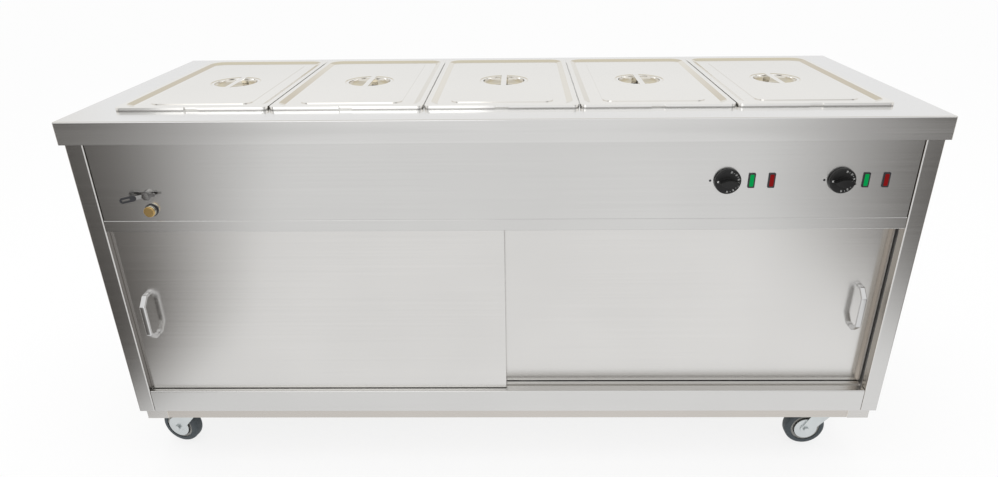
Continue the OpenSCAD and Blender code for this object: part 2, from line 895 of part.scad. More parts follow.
module drain_cap() {
  r = cap_edge;
  color([0.78, 0.66, 0.4]) on_panel(-drain_x, outlet_z) translate([0, 0, cap_out - cap_l]) difference() {
    rotate_extrude() polygon(concat(
      [[0, 0], [cap_d / 2, 0]],
      arc(cap_d / 2 - r, cap_l - r, r, 0, 90),
      [[0, cap_l]]
    ));
    translate([0, 0, -over]) cylinder(h = cap_l + over - cap_wall, r = spout_r + slack / 2);
  }
}

module on_spindle(out) {
  on_panel(-drain_x, spindle_z) translate([0, 0, out]) rotate(lever_tilt) children();
}

// The outer part of the lever leans away from the panel to leave room for fingers
module on_crank() {
  on_spindle(boss_out + lever_gap) translate([-lever_bend, 0, 0]) rotate([0, lever_crank, 0]) children();
}

module valve_lever() {
  arm = lever_l - lever_bend - sleeve_l + tongue_l;
  out = boss_out + lever_gap;
  t = lever_t;
  c = lever_crank;
  color([0.78, 0.79, 0.8]) {
    on_spindle(boss_out - stem_in + slack) {
      cylinder(h = stem_in + lever_gap + t + nut_h + over, r = stem_r);
    }
    on_spindle(out) linear_extrude(t) {
      circle(nut_r + 2);
      translate([0, -lever_w / 2]) square([lever_tail - lever_w / 2, lever_w]);
      translate([lever_tail - lever_w / 2, 0]) circle(lever_w / 2);
    }
    on_spindle(out) rotate([90, 0, 0]) linear_extrude(lever_w, center = true) polygon([
      [0, 0], [-lever_bend, 0], [-lever_bend - arm * cos(c), arm * sin(c)],
      [-lever_bend - arm * cos(c) + t * sin(c), arm * sin(c) + t * cos(c)],
      [-lever_bend + t * tan(c / 2), t], [0, t]
    ]);
    on_spindle(out + t) cylinder(h = nut_h, r = nut_r, $fn = 6);
  }
}

module lever_sleeve() {
  start = sleeve_l + lever_bend - lever_l;
  color([0.08, 0.08, 0.09]) on_crank() difference() {
    translate([start - sleeve_l / 2, 0, (lever_t - sleeve_t) / 2]) linear_extrude(sleeve_t) difference() {
      rounded(sleeve_l, sleeve_w, sleeve_r);
      translate([-tongue_l / 2, 0]) {
        rounded(sleeve_l - tongue_l - 2 * sleeve_wall, sleeve_w - 2 * sleeve_wall, slot_r);
      }
    }
    translate([start - tongue_l, -lever_w / 2, 0]) cube([2 * tongue_l, lever_w, lever_t]);
  }
}

// Controls
module thermostats() {
  color([0.6, 0.6, 0.6]) for (x = knobs) on_panel(x, knob_z) translate([0, 0, -skin_t]) {
    translate([0, 0, -stat_d]) linear_extrude(stat_d) square([stat_w, stat_h], center = true);
    translate([0, 0, -over]) cylinder(h = shaft_l + skin_t + over, r = shaft_r);
  }
}

// A round skirt with a grip between two arcs, pushed onto the thermostat's shaft
module knob(x) {
  color([0.09, 0.09, 0.1]) on_panel(x, knob_z) difference() {
    translate([0, 0, knob_gap]) {
      rotate_extrude() polygon(concat(
        [[0, 0], [knob_d / 2, 0]],
        arc(knob_d / 2 - knob_edge, knob_skirt - knob_edge, knob_edge, 0, 90),
        [[0, knob_skirt]]
      ));
      linear_extrude(knob_reach - knob_gap) intersection() {
        translate([0, grip_r - grip_w / 2]) circle(grip_r, $fn = 96);
        translate([0, grip_w / 2 - grip_r]) circle(grip_r, $fn = 96);
      }
    }
    translate([0, 0, -over]) cylinder(h = shaft_l + over + slack, r = shaft_r + fit);
  }
}

module on_lamps(first) {
  for (x = knobs) on_panel(x + lamp_x + first * lamp_pitch, knob_z) children();
}

module lamp_bezels() {
  color([0.07, 0.07, 0.08]) for (i = [0, 1]) on_lamps(i) difference() {
    union() {
      linear_extrude(lamp_out) rounded(lamp_w, lamp_h, lamp_r);
      translate([0, 0, -lamp_depth]) linear_extrude(lamp_depth) {
        square([lamp_body_w, lamp_body_h], center = true);
      }
    }
    translate([0, 0, -lens_in]) linear_extrude(lens_in + 2 * lamp_out) rounded(lens_w, lens_h, lamp_r);
  }
}

module lenses(i) {
  on_lamps(i) translate([0, 0, -lens_in]) linear_extrude(lens_in + lens_out) {
    rounded(lens_w, lens_h, lamp_r);
  }
}

// Heating elements: hairpin tubes that end outside the lining
module hairpin(runs, end, left, z) {
  r = (runs[1] - runs[0]) / 2;
  place() translate([-left, (runs[0] + runs[1]) / 2, z]) {
    for (s = [-1, 1]) translate([0, s * r, 0]) rotate([0, 90, 0]) {
      cylinder(h = left + end, r = tube_r, $fn = 24);
    }
    rotate(90) rotate_extrude(angle = 180) translate([r, 0]) circle(tube_r, $fn = 24);
  }
}

module clips(runs, xs, z, h) {
  place() for (x = xs, y = runs) translate([x, y, z]) linear_extrude(h) {
    square([clip_l, clip_w], center = true);
  }
}

module well_element() {
  color([0.5, 0.47, 0.44]) union() {
    hairpin(well_runs, well_w / 2 + tube_end, well_w / 2 - well_r - well_bend_in, well_tube_z);
    clips(well_runs, well_clips, well_z + liner_t, well_tube_z - well_z - liner_t);
  }
}

module cupboard_element() {
  color([0.5, 0.47, 0.44]) union() {
    hairpin(cupboard_runs, liner_x + tube_end, liner_x - cupboard_bend_in, cupboard_tube_z);
    clips(cupboard_runs, cupboard_clips, floor_z, cupboard_tube_z - floor_z);
  }
}

module cable_gland() {
  color([0.1, 0.1, 0.11]) place() translate([gland_x, body_back, gland_z]) rotate([-90, 0, 0]) difference() {
    union() {
      cylinder(h = gland_nut_h, r = gland_nut_r, $fn = 6);
      cylinder(h = gland_reach, r = gland_r + gland_shoulder);
      translate([0, 0, -gland_in]) cylinder(h = gland_in + gland_nut_h / 2, r = gland_r);
      translate([0, 0, -liner_t - gland_nut_h]) cylinder(h = gland_nut_h, r = gland_nut_r - 1, $fn = 6);
    }
    translate([0, 0, -gland_in - over]) cylinder(h = gland_reach + gland_in + 2 * over, r = cable_r);
  }
}

// Doors
module door(side, y) {
  t = door_skin;
  color([0.8, 0.8, 0.8]) place() translate([side * door_mid, y + door_t / 2, door_z]) difference() {
    linear_extrude(door_h) rounded(door_w, door_t, door_r);
    translate([0, 0, t]) linear_extrude(door_h - 2 * t) {
      square([door_w - 2 * door_r, door_t - 2 * t], center = true);
    }
    for (x = [-door_w / 4, 0, door_w / 4]) translate([x, 0, -over]) {
      cylinder(h = 2 * over + t, r = door_hole_r);
    }
  }
}

// A bar bent from one strip: two feet on the door, two slanted ends and a straight grip
module handle(side, y) {
  l = handle_l / 2;
  c = handle_chamfer;
  k = handle_t * (sqrt(2) - 1);
  r = handle_reach;
  t = handle_t;
  color([0.8, 0.81, 0.82]) place() translate([side * (door_end - handle_in), y, handle_z]) {
    along_x(handle_w) difference() {
      polygon([[0, -l], [0, l], [c - r, l], [-r, l - c], [-r, c - l], [c - r, -l]]);
      polygon([
        [over, t - l], [over, l - t], [c - r + k, l - t], [t - r, l - c - k],
        [t - r, c + k - l], [c - r + k, t - l]
      ]);
    }
  }
}

module glides(side, y) {
  pad_w = door_t + 2 * (track_gap - slack);
  groove_z = sill_z - groove_h + slack;
  color([0.9, 0.9, 0.88]) place() for (x = [-1, 1]) {
    translate([side * door_mid + x * (door_w / 2 - glide_in) - glide_l / 2, y + door_t / 2, 0]) {
      translate([0, -glide_w / 2, groove_z]) cube([glide_l, glide_w, door_z - groove_z]);
      translate([0, -pad_w / 2, door_z + door_h]) cube([glide_l, pad_w, pad_h]);
    }
  }
}

// One pan: a flange with a downturned edge round a tapered, round-cornered body
module pan(i) {
  w = pan_w - 2 * pan_flange;
  l = pan_l - 2 * pan_flange;
  r = pan_body_r;
  b = pan_bend;
  bottom = pan_top - pan_depth;
  foot = r - pan_taper - b;
  color([0.78, 0.79, 0.79]) place() translate([pan_x(i), well_y, 0]) {
    translate([0, 0, pan_top - pan_t]) linear_extrude(pan_t) difference() {
      rounded(pan_w, pan_l, pan_corner);
      rounded(w - 2 * pan_t, l - 2 * pan_t, r - pan_t);
    }
    translate([0, 0, pan_top - pan_t - pan_edge]) linear_extrude(pan_edge) difference() {
      rounded(pan_w, pan_l, pan_corner);
      rounded(pan_w - 2 * pan_t, pan_l - 2 * pan_t, pan_corner - pan_t);
    }
    ring(w, l, r) polygon(concat(
      [[r - pan_t, pan_top], [r, pan_top - pan_t]],
      arc(foot, bottom + b, b, 0, -90),
      arc(foot, bottom + b, b - pan_t, -90, 0)
    ));
    translate([0, 0, bottom]) linear_extrude(pan_t) rounded(w - 2 * (r - foot), l - 2 * (r - foot), foot);
  }
}

// One lid: a rim, a flat border, a slope, a raised panel, and a finger bowl under a strap
module lid(i) {
  w = pan_w - 2 * lid_border;
  l = pan_l - 2 * lid_border;
  r = lid_inner_r;
  t = lid_t;
  pw = pan_w - 2 * lid_panel_x;
  pl = pan_l - 2 * lid_panel_y;
  raised_z = lid_floor + lid_panel_rise;
  color([0.82, 0.82, 0.81]) place() translate([pan_x(i), well_y, 0]) difference() {
    union() {
      translate([0, 0, lid_top - t]) linear_extrude(t) difference() {
        rounded(pan_w, pan_l, lid_corner);
        rounded(w, l, r);
      }
      translate([0, 0, lid_z]) linear_extrude(lid_rim - t) difference() {
        rounded(pan_w, pan_l, lid_corner);
        rounded(pan_w - 2 * t, pan_l - 2 * t, lid_corner - t);
      }
      ring(w, l, r) polygon([
        [r, lid_top], [r - lid_slope, lid_floor], [r - lid_slope, lid_floor - t], [r, lid_top - t]
      ]);
      translate([0, 0, lid_floor - t]) linear_extrude(t) difference() {
        rounded(w - 2 * lid_slope, l - 2 * lid_slope, r - lid_slope);
        rounded(pw - 2 * t, pl - 2 * t, lid_panel_r - t);
      }
      translate([0, 0, lid_floor - t]) linear_extrude(lid_panel_rise + t) difference() {
        rounded(pw, pl, lid_panel_r);
        rounded(pw - 2 * t, pl - 2 * t, lid_panel_r - t);
      }
      translate([0, 0, raised_z - t]) linear_extrude(t) difference() {
        rounded(pw, pl, lid_panel_r);
        circle(bowl_r + bowl_ring);
      }
      translate([0, 0, raised_z]) rotate_extrude($fn = 72) polygon(bowl_profile());
      translate([-strap_w / 2, -bowl_r - bowl_ring, raised_z - t]) {
        cube([strap_w, 2 * (bowl_r + bowl_ring), t]);
      }
      translate([-notch_w / 2 - t, -pan_l / 2, lid_z]) {
        cube([notch_w + 2 * t, notch_l + t, lid_rim - t / 2]);
      }
    }
    translate([-notch_w / 2, -pan_l / 2 - over, lid_z - over]) {
      cube([notch_w, notch_l + over, lid_rim + 2 * over]);
    }
  }
}

// The wall of the bowl, from the raised panel down to its round floor
function bowl_profile() = let(
  t = lid_t,
  d = bowl_depth,
  b = bowl_r - bowl_flat_r
) concat(
  [[bowl_r + bowl_ring, -t], [bowl_r + bowl_ring, 0], [bowl_r + bowl_ring - 3, -1], [bowl_r, -1]],
  [for (i = [1:8]) [bowl_flat_r + b * cos(90 * i / 8), -1 - (d - 1) * sin(90 * i / 8)]],
  [[0, -d], [0, -d - t]],
  [for (i = [8:-1:1]) [bowl_flat_r + b * cos(90 * i / 8), -1 - t - (d - 1) * sin(90 * i / 8)]],
  [[bowl_r, -1 - t], [bowl_r + bowl_ring - 3, -1 - t]]
);

// One module for each piece that is only placed

module green_lenses() {
  color([0.05, 0.6, 0.3]) lenses(0);
}

module red_lenses() {
  color([0.55, 0.1, 0.1]) lenses(1);
}

module well_knob() {
  knob(knobs[0]);
}

module cupboard_knob() {
  knob(knobs[1]);
}

module left_door() {
  door(-1, door_y);
}

module left_handle() {
  handle(-1, door_y);
}

module left_glides() {
  glides(-1, door_y);
}

module right_door() {
  door(1, door_y + door_pitch);
}

module right_handle() {
  handle(1, door_y + door_pitch);
}

module right_glides() {
  glides(1, door_y + door_pitch);
}

module pan_1() {
  pan(1);
}

module pan_2() {
  pan(2);
}

module pan_3() {
  pan(3);
}

module pan_4() {
  pan(4);
}

module pan_5() {
  pan(5);
}

module lid_1() {
  lid(1);
}

module lid_2() {
  lid(2);
}

module lid_3() {
  lid(3);
}

module lid_4() {
  lid(4);
}

module lid_5() {
  lid(5);
}

module castor_fork_front_left() {
  castor(-1, castor_front, turn_front_left) fork();
}

module castor_fork_front_right() {
  castor(1, castor_front, turn_front_right) fork();
}

module castor_fork_rear_left() {
  castor(-1, castor_back, turn_rear_left) fork();
}

module castor_fork_rear_right() {
  castor(1, castor_back, turn_rear_right) fork();
}

module castor_hub_front_left() {
  castor(-1, castor_front, turn_front_left) hub();
}

module castor_hub_front_right() {
  castor(1, castor_front, turn_front_right) hub();
}

module castor_hub_rear_left() {
  castor(-1, castor_back, turn_rear_left) hub();
}

module castor_hub_rear_right() {
  castor(1, castor_back, turn_rear_right) hub();
}

module castor_tyre_front_left() {
  castor(-1, castor_front, turn_front_left) tyre();
}

module castor_tyre_front_right() {
  castor(1, castor_front, turn_front_right) tyre();
}

module castor_tyre_rear_left() {
  castor(-1, castor_back, turn_rear_left) tyre();
}

module castor_tyre_rear_right() {
  castor(1, castor_back, turn_rear_right) tyre();
}

worktop();
well_tank();
pan_support_bars();
left_side();
right_side();
back_panel();
control_panel();
door_header();
door_sill();
top_track();
inner_liner();
cupboard_ceiling();
cupboard_floor();
shelves();
shelf_brackets();
base_frame();
drain_pipe();
drain_valve();
drain_bush();
thermostats();
lamp_bezels();
green_lenses();
red_lenses();
well_element();
cupboard_element();
cable_gland();
castor_plates();
drain_cap();
valve_lever();
lever_sleeve();
well_knob();
cupboard_knob();
left_door();
left_handle();
left_glides();
right_door();
right_handle();
right_glides();
pan_1();
pan_2();
pan_3();
pan_4();
pan_5();
lid_1();
lid_2();
lid_3();
lid_4();
lid_5();
castor_fork_front_left();
castor_fork_front_right();
castor_fork_rear_left();
castor_fork_rear_right();
castor_hub_front_left();
castor_hub_front_right();
castor_hub_rear_left();
castor_hub_rear_right();
castor_tyre_front_left();
castor_tyre_front_right();
castor_tyre_rear_left();
castor_tyre_rear_right();
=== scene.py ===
import json
import math

import bmesh
import bpy
from mathutils import Matrix, Vector


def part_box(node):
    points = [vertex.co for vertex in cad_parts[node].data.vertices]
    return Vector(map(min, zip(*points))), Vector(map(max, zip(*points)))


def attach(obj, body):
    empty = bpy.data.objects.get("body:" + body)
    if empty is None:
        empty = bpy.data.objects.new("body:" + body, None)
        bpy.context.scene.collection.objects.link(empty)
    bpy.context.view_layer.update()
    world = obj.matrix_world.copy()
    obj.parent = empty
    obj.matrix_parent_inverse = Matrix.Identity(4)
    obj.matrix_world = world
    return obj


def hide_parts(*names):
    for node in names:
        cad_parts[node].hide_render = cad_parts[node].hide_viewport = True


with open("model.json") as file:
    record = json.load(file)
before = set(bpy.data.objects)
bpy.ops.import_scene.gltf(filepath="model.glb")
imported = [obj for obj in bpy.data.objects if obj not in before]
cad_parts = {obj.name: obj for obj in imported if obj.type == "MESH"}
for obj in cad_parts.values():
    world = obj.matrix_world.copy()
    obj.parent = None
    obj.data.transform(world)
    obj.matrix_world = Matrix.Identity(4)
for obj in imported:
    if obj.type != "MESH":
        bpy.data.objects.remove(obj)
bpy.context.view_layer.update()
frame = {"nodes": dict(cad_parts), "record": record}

NODES = frame["nodes"]
SLOT = {s["node"]: s["material_slot"] for s in frame["record"]["subparts"]}
BODY = {n: b for b, ns in frame["record"]["behaviour"]["bodies"].items() for n in ns}
SCENE = bpy.context.scene


def put(name, data):
    """A new object in the scene."""
    item = bpy.data.objects.new(name, data)
    SCENE.collection.objects.link(item)
    return item


# ---------------------------------------------------------------- camera
# Its lens, centre, direction and place were solved from straight edges in the photo.
IMAGE_W, IMAGE_H = 998, 477
FOCAL_PX = 701.397
CENTRE_X, CENTRE_Y = 509.727, 241.118
SENSOR_W = 36.0
SEES_TO = 60.0
CAMERA_RIGHT = Vector((0.999886, 0.011337, -0.009958))
CAMERA_UP = Vector((0.004318, 0.417398, 0.908713))
CAMERA_BACK = Vector((0.014459, -0.908653, 0.417302))
CAMERA_AT = Vector((0.03714, -1.69758, 1.24036))

camera_data = bpy.data.cameras.new("camera")
camera_data.sensor_width = SENSOR_W
camera_data.lens = FOCAL_PX * SENSOR_W / IMAGE_W
camera_data.shift_x = (IMAGE_W / 2 - CENTRE_X) / IMAGE_W
camera_data.shift_y = (CENTRE_Y - IMAGE_H / 2) / IMAGE_W
camera_data.clip_end = SEES_TO
camera = put("camera", camera_data)
placed = Matrix((CAMERA_RIGHT, CAMERA_UP, CAMERA_BACK)).transposed().to_4x4()
placed.translation = CAMERA_AT
camera.matrix_world = placed
SCENE.camera = camera
SCENE.view_settings.view_transform = "Standard"


# ---------------------------------------------------------------- node trees
COLOUR_MIX = (0, 6, 7, 2)  # which sockets of a mix node are its factor, A, B and result
NUMBER_MIX = (0, 2, 3, 0)


class Nodes:
    """A small builder of node trees."""

    def __init__(self, tree):
        self.tree = tree

    def add(self, kind, **values):
        """A new node with some of its sockets or properties set."""
        node = self.tree.nodes.new(kind)
        for key, value in values.items():
            if key in node.inputs:
                node.inputs[key].default_value = value
            else:
                setattr(node, key, value)
        return node

    def feed(self, socket, value):
        """Links another socket to this one, or sets it to a number or a colour."""
        if isinstance(value, bpy.types.NodeSocket):
            self.tree.links.new(value, socket)
        elif isinstance(value, (int, float)):
            socket.default_value = value
        else:
            socket.default_value = (*value, 1)

    def calc(self, operation, *values):
        node = self.add("ShaderNodeMath", operation=operation)
        for socket, value in zip(node.inputs, values):
            self.feed(socket, value)
        return node.outputs[0]

    def axes(self, vector):
        node = self.add("ShaderNodeSeparateXYZ")
        self.feed(node.inputs[0], vector)
        return node.outputs

    def ramp(self, source, stops):
        """Colours, or levels of grey, at places from nought to one."""
        node = self.add("ShaderNodeValToRGB")
        elements = node.color_ramp.elements
        while len(elements) < len(stops):
            elements.new(0.5)
        for element, (at, tone) in zip(elements, stops):
            element.position = at
            element.color = (*tone, 1) if isinstance(tone, tuple) else (tone, tone, tone, 1)
        self.feed(node.inputs["Fac"], source)
        return node.outputs["Color"]

    def smooth(self, source, low, high):
        """Eases from nought at the low value to one at the high value."""
        node = self.add("ShaderNodeMapRange", interpolation_type="SMOOTHSTEP",
                        **{"From Min": low, "From Max": high})
        self.feed(node.inputs["Value"], source)
        return node.outputs["Result"]

    def mixed(self, node, sockets, factor, a, b):
        *inputs, result = sockets
        for index, value in zip(inputs, (factor, a, b)):
            self.feed(node.inputs[index], value)
        return node.outputs[result]

    def mix(self, a, b, factor, blend="MIX"):
        node = self.add("ShaderNodeMix", data_type="RGBA", blend_type=blend)
        return self.mixed(node, COLOUR_MIX, factor, a, b)

    def times(self, a, b):
        return self.mix(a, b, 1.0, "MULTIPLY")

    def mix_numbers(self, a, b, factor):
        node = self.add("ShaderNodeMix", data_type="FLOAT")
        return self.mixed(node, NUMBER_MIX, factor, a, b)

    def mix_shaders(self, a, b, factor):
        node = self.add("ShaderNodeMixShader")
        for socket, value in zip(node.inputs, (factor, a, b)):
            self.feed(socket, value)
        return node.outputs[0]

    def by_ray(self, lighting, mirrored, seen):
        """One shader for lighting, one for what gloss and clear pieces show, one for the eye."""
        path = self.add("ShaderNodeLightPath").outputs
        on_gloss = self.calc("MAXIMUM", path["Is Glossy Ray"], path["Is Transmission Ray"])
        indirect = self.mix_shaders(lighting, mirrored, on_gloss)
        return self.mix_shaders(indirect, seen, path["Is Camera Ray"])


# ---------------------------------------------------------------- materials
NOISE_ENDS = (0.3, 0.7)  # nearly all of a noise lies between these
NOISE_MIDDLE = (0.35, 0.65)
# Painted shade in crevices: ambient occlusion within this reach darkens the colour.
PAINTED_SHADE_REACH = 0.004
PAINTED_SHADE_ENDS = (0.15, 0.75)  # how open a place is where the darkening is full, and where it ends
QUARTER_TURN = 0.25  # the gloss is stretched along the tangent's axis, not round it


def scaled(colour, share, lift=0.0):
    """The colour times a share, never brighter than white."""
    return tuple(min(1.0, c * share + lift) for c in colour)


class Shader(Nodes):
    """A material's nodes round one principled shader."""

    def __init__(self, name):
        self.material = bpy.data.materials.new(name)
        self.material.use_nodes = True
        super().__init__(self.material.node_tree)
        self.main = self.tree.nodes["Principled BSDF"]
        self.place = self.add("ShaderNodeTexCoord").outputs["Object"]

    def set(self, **values):
        for key, value in values.items():
            self.feed(self.main.inputs[key.replace("_", " ")], value)

    def noise(self, scale, detail, rough, stretch=(1, 1, 1)):
        """Noise that stays on the piece, with about so many cells in a metre."""
        mapping = self.add("ShaderNodeMapping", Scale=stretch)
        self.feed(mapping.inputs["Vector"], self.place)
        node = self.add("ShaderNodeTexNoise", Scale=scale, Detail=detail, Roughness=rough)
        self.feed(node.inputs["Vector"], mapping.outputs["Vector"])
        return node.outputs["Fac"]

    def cloudy(self, clouds, colour, share, lift=0.0):
        """The colour, a share darker to a share lighter over a noise."""
        tones = scaled(colour, 1 - share), scaled(colour, 1 + share, lift)
        return self.ramp(clouds, list(zip(NOISE_MIDDLE, tones)))

    def spread(self, source, value, shares):
        """The value times the first to the second share over a noise."""
        low, high = NOISE_ENDS
        least, most = shares
        node = self.add("ShaderNodeMapRange", **{
            "From Min": low, "From Max": high, "To Min": value * least, "To Max": value * most})
        self.feed(node.inputs["Value"], source)
        return node.outputs["Result"]

    def bump(self, source, distance, strength):
        node = self.add("ShaderNodeBump", Distance=distance, Strength=strength)
        self.feed(node.inputs["Height"], source)
        return node.outputs["Normal"]

    def within(self, aside, depth):
        """One between two distances from the middle and between two depths, nought elsewhere."""
        place = self.axes(self.place)
        spans = ((self.calc("ABSOLUTE", place["X"]), aside), (place["Y"], depth))
        inside = [self.calc("COMPARE", source, (least + most) / 2, (most - least) / 2)
                  for source, (least, most) in spans]
        return self.calc("MULTIPLY", *inside)

    def painted_crevice_shade(self, colour, level):
        """Painted shade: the colour, down to a level of it where another surface stands close by.
        """
        near = self.add("ShaderNodeAmbientOcclusion", samples=6, Distance=PAINTED_SHADE_REACH)
        shade = self.ramp(near.outputs["AO"], list(zip(PAINTED_SHADE_ENDS, (level, 1))))
        return self.times(colour, shade)


# Scale, detail and roughness of each noise
STREAKS = (1.0, 4.0, 0.65)
SHEET_CLOUDS = (1.7, 3.0, 0.5)
METAL_CLOUDS = (14, 3.0, 0.5)
METAL_PITS = (720, 2.0, 0.5)
PLASTIC_CLOUDS = (30, 3.0, 0.55)
PLASTIC_GRAIN = (3.0, 0.55)
LENS_GRAIN = (220, 2.0, 0.5)
GRAIN = {"x": (1.5, 420, 420), "y": (420, 1.5, 420)}  # cells of the streaks in a metre

# Shares of the roughness that a noise takes it through, and strengths of the bumps
SHEET_GLOSS = (0.88, 1.12)
METAL_GLOSS = (0.8, 1.25)
PLASTIC_GLOSS = (0.85, 1.15)
SHEET_BUMP = 0.5
METAL_BUMP = 0.4
PLASTIC_BUMP = 0.5
LENS_BUMP = 0.3

PLASTIC_WORN = 0.004  # added where plastic is lightest
LENS_ROUGH = 0.3
LENS_SHINE = 0.04
LENS_RIPPLE = 0.00005
LENS_DARKER = 0.8
GLOW_DARKER = 0.7

# By how far a face looks upward: which faces get the painted shade of pressed slopes, and which
# the painted highlight of upright rims
PAINTED_SLOPE_SHADE_MASK = [(0.3, 0), (0.5, 1), (0.955, 1), (0.998, 0)]
PAINTED_RIM_HIGHLIGHT_MASK = [(0.2, 1), (0.35, 0)]


def steel(name, colour, rough, grain="x", tangent=None, spin=0.7, depth=0.000008, cloud=0.03,
          streaks=0.04, level=0.85, metallic=1.0, top=None, painted_slope_shade=None, painted_rim_highlight=None, reveal=None,
          pocket=None):
    """Brushed sheet: streaks along the grain in colour, gloss and height, over slow clouds.

    top is a height with the colour and the roughness of the flat above it, which is brighter and
    smoother than the faces below. The slope tone is painted shade and painted reflection on
    pressed slopes, and the rim colour a painted highlight on upright rims. The darker region has a
    tint that
    darkens the sheet: painted shade on the sides' returns beside the doors, a plainly darker tone
    elsewhere. The glow region has a painted glow, emission that stands in for the light that many
    bounces would carry into a narrow hollow. level is how far painted shade in crevices darkens.
    """
    s = Shader(name)
    streak = s.noise(*STREAKS, GRAIN[grain])
    clouds = s.noise(*SHEET_CLOUDS)
    fine = s.ramp(streak, list(zip(NOISE_ENDS, (1 - streaks, 1))))
    colour = s.times(s.cloudy(clouds, colour, cloud), fine)
    gloss = s.spread(streak, rough, SHEET_GLOSS)
    if top:
        height, brighter, smoother = top
        above = s.calc("GREATER_THAN", s.axes(s.place)["Z"], height)
        colour = s.mix(colour, s.times(brighter, fine), above)
        gloss = s.mix_numbers(gloss, s.spread(streak, smoother, SHEET_GLOSS), above)
    # Pressed slopes get painted shade and painted reflection, and upright rims a painted
    # highlight, by which way each face looks.
    if painted_slope_shade:
        upward = s.axes(s.add("ShaderNodeNewGeometry").outputs["Normal"])["Z"]
        colour = s.mix(colour, s.times(colour, painted_slope_shade), s.ramp(upward, PAINTED_SLOPE_SHADE_MASK))
        colour = s.mix(colour, painted_rim_highlight, s.ramp(upward, PAINTED_RIM_HIGHLIGHT_MASK))
    # A region gets a darker tint: painted shade on the sides' returns, a plainly darker tone
    # elsewhere.
    if reveal:
        region, tint = reveal
        colour = s.mix(colour, s.times(colour, tint), s.within(*region))
    # Painted glow: emission in a narrow hollow that stands in for the light many bounces would
    # carry there.
    if pocket:
        region, glow = pocket
        s.set(Emission_Color=s.mix((0, 0, 0), glow, s.within(*region)), Emission_Strength=1.0)
    # The base colour gets painted shade where another surface stands close by, down to level of
    # it.
    s.set(Base_Color=s.painted_crevice_shade(colour, level), Metallic=metallic, Roughness=gloss,
          Normal=s.bump(streak, depth, SHEET_BUMP))
    if tangent:
        node = s.add("ShaderNodeTangent", direction_type="RADIAL", axis=tangent)
        s.set(Tangent=node.outputs["Tangent"], Anisotropic=spin, Anisotropic_Rotation=QUARTER_TURN)
    return s.material


def skin(name, **places):
    """The polished sheet of the body."""
    return steel(name, (0.66, 0.655, 0.645), 0.21, "x", "Z", 0.8, **places)


def metal(name, colour, rough, cloud=0.06, pits=0.00001, rear=None):
    """Cast, plated or polished metal: slow clouds and fine pits.

    rear is a depth with the colour of the plating that shows behind it.
    """
    s = Shader(name)
    clouds = s.noise(*METAL_CLOUDS)
    pitted = s.noise(*METAL_PITS)
    base = s.cloudy(clouds, colour, cloud)
    if rear:
        depth, plating = rear
        base = s.mix(base, plating, s.calc("GREATER_THAN", s.axes(s.place)["Y"], depth))
    s.set(Base_Color=base, Metallic=1.0, Roughness=s.spread(clouds, rough, METAL_GLOSS),
          Normal=s.bump(pitted, pits, METAL_BUMP))
    return s.material


def plastic(name, colour, rough, grain=900, depth=0.00002, wear=0.12, **more):
    """Moulded plastic or rubber: a fine grain, and clouds that are lighter where it is worn."""
    s = Shader(name)
    fine = s.noise(grain, *PLASTIC_GRAIN)
    clouds = s.noise(*PLASTIC_CLOUDS)
    s.set(Base_Color=s.cloudy(clouds, colour, wear, PLASTIC_WORN), Metallic=0.0,
          Roughness=s.spread(clouds, rough, PLASTIC_GLOSS),
          Normal=s.bump(fine, depth, PLASTIC_BUMP), **more)
    return s.material


def lens(name, colour, glow, strength):
    """A lamp's moulded lens, faintly lit from inside."""
    s = Shader(name)
    fine = s.noise(*LENS_GRAIN)
    base = s.ramp(fine, list(zip(NOISE_ENDS, (scaled(colour, LENS_DARKER), colour))))
    lit = s.mix(glow, scaled(glow, GLOW_DARKER), fine)
    s.set(Base_Color=base, Roughness=LENS_ROUGH, Metallic=0.0, Specular_IOR_Level=LENS_SHINE,
          Emission_Color=lit, Emission_Strength=strength,
          Normal=s.bump(fine, LENS_RIPPLE, LENS_BUMP))
    return s.material


# Regions with a look of their own: least and most distance from the middle, and depths.
RAIL_END = 0.83045  # where the base frame's cross rails meet its side rails
RAIL_DEPTHS = (-0.36, 0.36)
CROSS_RAILS = ((0.0, RAIL_END), RAIL_DEPTHS)
RAIL_JOINT = ((RAIL_END - 0.00013, RAIL_END + 0.00017), RAIL_DEPTHS)
BEHIND_FRONT = (-0.3252, -0.2)
RETURN = ((0.0, 0.8548), BEHIND_FRONT)  # a side's folded return, beside the doors
RETURN_HOLLOW = ((0.8546, 0.8912), (-0.3257, -0.24))
SILL_STEP = ((0.0, 0.86), BEHIND_FRONT)
SILL_GROOVE = ((0.0, 0.86), (-0.3067, -0.2983))
WORKTOP_FLAT = 0.8785  # height just below the worktop's upper face
CAP_PLATING = -0.3362  # depth behind which the drain cap is plated

